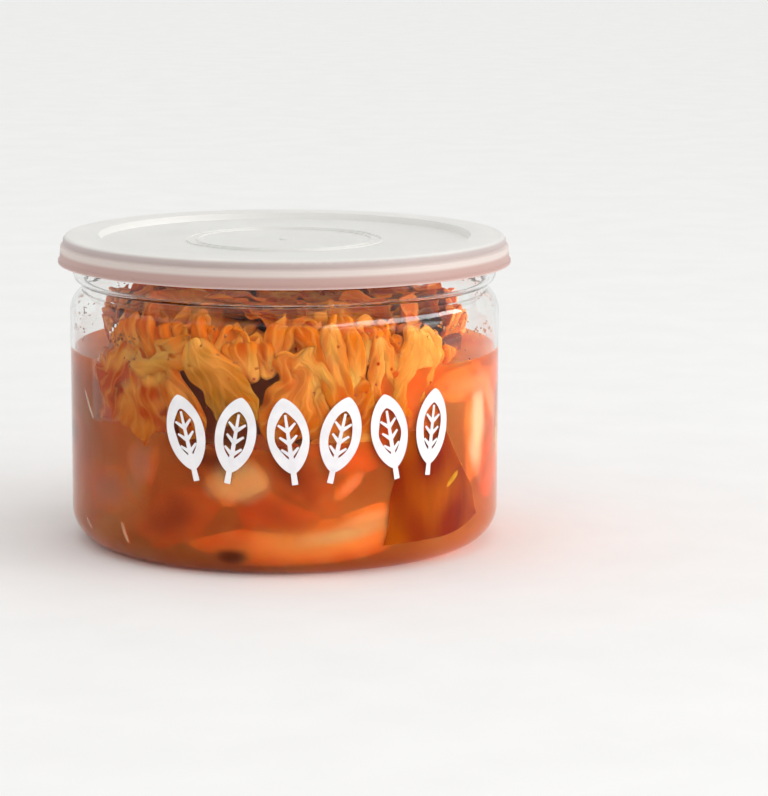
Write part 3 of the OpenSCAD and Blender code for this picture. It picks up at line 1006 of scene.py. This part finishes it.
class KIMCHIJAR_OT_print(bpy.types.Operator):
    """Print a row of plain white leaves round the front"""
    bl_idname = "kimchijar.print"
    bl_label = "Print"

    def execute(self, context):
        rng = np.random.default_rng(context.scene.kimchi_jar.seed + 5)
        stroke = context.scene.kimchi_jar.stroke / MM
        # Six leaves, 17.5 mm tall and 9.4 wide, from 26 degrees left to 41 right
        sheets = []
        for k, angle in enumerate(np.linspace(-26, 41, 6)):
            lean = math.radians((14, -10, 8, -13, 10, -7)[k])
            sheets += printed_leaf(rng, angle, 33.0, 17.5, 9.4, lean, stroke)
        print_ = join_shells("printed_leaves", sheets, ink_material())
        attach(print_, "root")
        return {"FINISHED"}


def printed_leaf(rng, angle, z, tall, wide, lean, stroke):
    """Films of ink of one printed leaf, each a grid between two edges, wrapped on the outside of the
    wall. The outline is the band between the pointed oval x = w sin(t)^1.4, y = h cos(t) and a
    smaller one. The midrib and the three pairs of veins are bars that narrow to their ends."""
    t = np.linspace(0, np.pi, 49)[:, None]
    inwards = np.linspace(0, 1, 4)
    hand = stroke * (1 + 0.10 * waves(t * 5, 0 * t, rng, 6))
    films = []
    for side in (-1, 1):
        w = wide / 2 - hand * inwards
        h = tall / 2 - 1.7 * stroke * inwards
        films.append((side * w * np.sin(t) ** 1.4, h * np.cos(t)))

    def bar(x0, y0, x1, y1, thick0, thick1):
        """A straight bar from one point to another whose width goes from thick0 to thick1."""
        s = np.linspace(0, 1, 13)[:, None]
        length = math.hypot(x1 - x0, y1 - y0)
        across = np.linspace(-0.5, 0.5, 3) * (thick0 + (thick1 - thick0) * s)
        films.append((x0 + (x1 - x0) * s - across * (y1 - y0) / length,
                      y0 + (y1 - y0) * s + across * (x1 - x0) / length))

    bar(0, -0.64 * tall, 0, 0.28 * tall, 0.75 * stroke, 0.3 * stroke)
    for side in (-1, 1):
        for foot in (-0.26, -0.10, 0.06):
            bar(0, foot * tall, side * 0.21 * wide, (foot + 0.10) * tall, 0.5 * stroke, 0.25 * stroke)
    sheets = []
    for x, y in films:
        turned_x = x * math.cos(lean) - y * math.sin(lean)
        turned_y = x * math.sin(lean) + y * math.cos(lean)
        a = math.radians(angle) + turned_x / BODY_R
        r = BODY_R + 0.7 * FILM
        sheets.append({"middle": np.stack([r * np.sin(a), -r * np.cos(a), z + turned_y], -1),
                       "thickness": np.full(x.shape, FILM), "uv": np.stack([x, y], -1),
                       "tone": np.ones(x.shape + (3,))})
    return sheets


class KIMCHIJAR_OT_stage(bpy.types.Operator):
    """Set up the floor, the studio lights and the camera"""
    bl_idname = "kimchijar.stage"
    bl_label = "Stage"

    def execute(self, context):
        scene = context.scene
        scene.view_settings.view_transform = "Standard"
        # Paper sweep: flat for 4 m behind the jar, then curving up with a 1.5 m radius
        bend = 1.5
        y, z = profile((np.linspace(-3.0, 4.0, 8), np.zeros(8)), arc(4.0, bend, bend, -80, 0, 9), (5.5, 4.0))
        x = np.linspace(-5.0, 5.0, 9)
        points = np.stack([x[:, None] + 0 * y, y + 0 * x[:, None], z + 0 * x[:, None]], -1)
        floor = build_mesh("paper_sweep", points.reshape(-1, 3) / MM, grid_faces(len(x), len(y)),
                           material=paper_material())
        world = bpy.data.worlds.new("studio_white")
        world.use_nodes = True
        world.node_tree.nodes.clear()
        sky = add(world.node_tree, "Background", {"Color": "#FBFBFB", "Strength": 0.93})
        add(world.node_tree, "OutputWorld", {"Surface": sky})
        scene.world = world
        key = aimed_light("key_sun", "SUN", (1.0, -0.28, 0.30), "#FFFDFA", 0.56)
        key.data.angle = math.radians(34)
        # A long low window to the right lights the filling; a large softbox over it is linked to the
        # jar's wall alone, as the broad white glint along its shoulder
        window = aimed_light("window_right", "AREA", (0.80, -0.42, 0.34), "#FFFFFF", 2.3, (1.1, 0.14))
        window.visible_glossy = False
        softbox = aimed_light("softbox_right", "AREA", (0.57, -0.18, 0.62), "#FFFFFF", 22.0, (1.45, 0.34))
        glinting = bpy.data.collections.new("glinting")
        glinting.objects.link(bpy.data.objects["jar_wall"])
        softbox.light_linking.receiver_collection = glinting
        softbox.visible_transmission = False
        softbox.visible_diffuse = False
        # A long lens 0.73 m in front and 0.16 m up, aimed so that the jar stands left of the middle
        camera = bpy.data.cameras.new("camera")
        camera.lens = 140.43
        camera.sensor_width = 36.0
        camera.clip_start = 0.01
        view = bpy.data.objects.new("camera", camera)
        aim = (Matrix.Rotation(math.radians(-1.82), 4, "Z") @ Matrix.Rotation(math.radians(80.25), 4, "X")
               @ Matrix.Rotation(math.radians(0.22), 4, "Z"))
        view.matrix_world = Matrix.Translation((0.0004, -0.7340, 0.1591)) @ aim
        scene.collection.objects.link(view)
        scene.camera = view
        return {"FINISHED"}


def aimed_light(name, kind, place, colour, strength, size=None):
    """A lamp at a place in metres, turned to face the middle of the jar; size is that of a rectangle."""
    lamp = bpy.data.lights.new(name, kind)
    lamp.energy = strength
    lamp.color = linear(colour)[:3]
    if size:
        lamp.shape = "RECTANGLE"
        lamp.size, lamp.size_y = size
    obj = bpy.data.objects.new(name, lamp)
    obj.location = place
    obj.rotation_euler = (Vector(LAMPS_AIM) - Vector(place)).to_track_quat("-Z", "Y").to_euler()
    bpy.context.scene.collection.objects.link(obj)
    return obj


STEPS = ("jar", "lid", "brine", "core", "sunk", "wall_leaves", "heap", "flakes", "print", "stage")


class KIMCHIJAR_PT_panel(bpy.types.Panel):
    """Lists the jar's settings and the steps that build it"""
    bl_idname = "KIMCHIJAR_PT_panel"
    bl_label = "Kimchi Jar"
    bl_space_type = "VIEW_3D"
    bl_region_type = "UI"
    bl_category = "Kimchi Jar"

    def draw(self, context):
        settings = context.scene.kimchi_jar
        for name in settings.bl_rna.properties.keys():
            if name not in ("rna_type", "name"):
                self.layout.prop(settings, name)
        for name in STEPS:
            self.layout.operator("kimchijar." + name)


CLASSES = (
    KimchiJarSettings, KIMCHIJAR_OT_jar, KIMCHIJAR_OT_lid, KIMCHIJAR_OT_brine, KIMCHIJAR_OT_core,
    KIMCHIJAR_OT_sunk, KIMCHIJAR_OT_wall_leaves, KIMCHIJAR_OT_heap, KIMCHIJAR_OT_flakes,
    KIMCHIJAR_OT_print, KIMCHIJAR_OT_stage, KIMCHIJAR_PT_panel)


def register():
    for cls in CLASSES:
        bpy.utils.register_class(cls)
    bpy.types.Scene.kimchi_jar = bpy.props.PointerProperty(type=KimchiJarSettings)


def unregister():
    del bpy.types.Scene.kimchi_jar
    for cls in reversed(CLASSES):
        bpy.utils.unregister_class(cls)


def main():
    register()
    for name in STEPS:
        getattr(bpy.ops.kimchijar, name)()


if __name__ == "__main__":
    main()
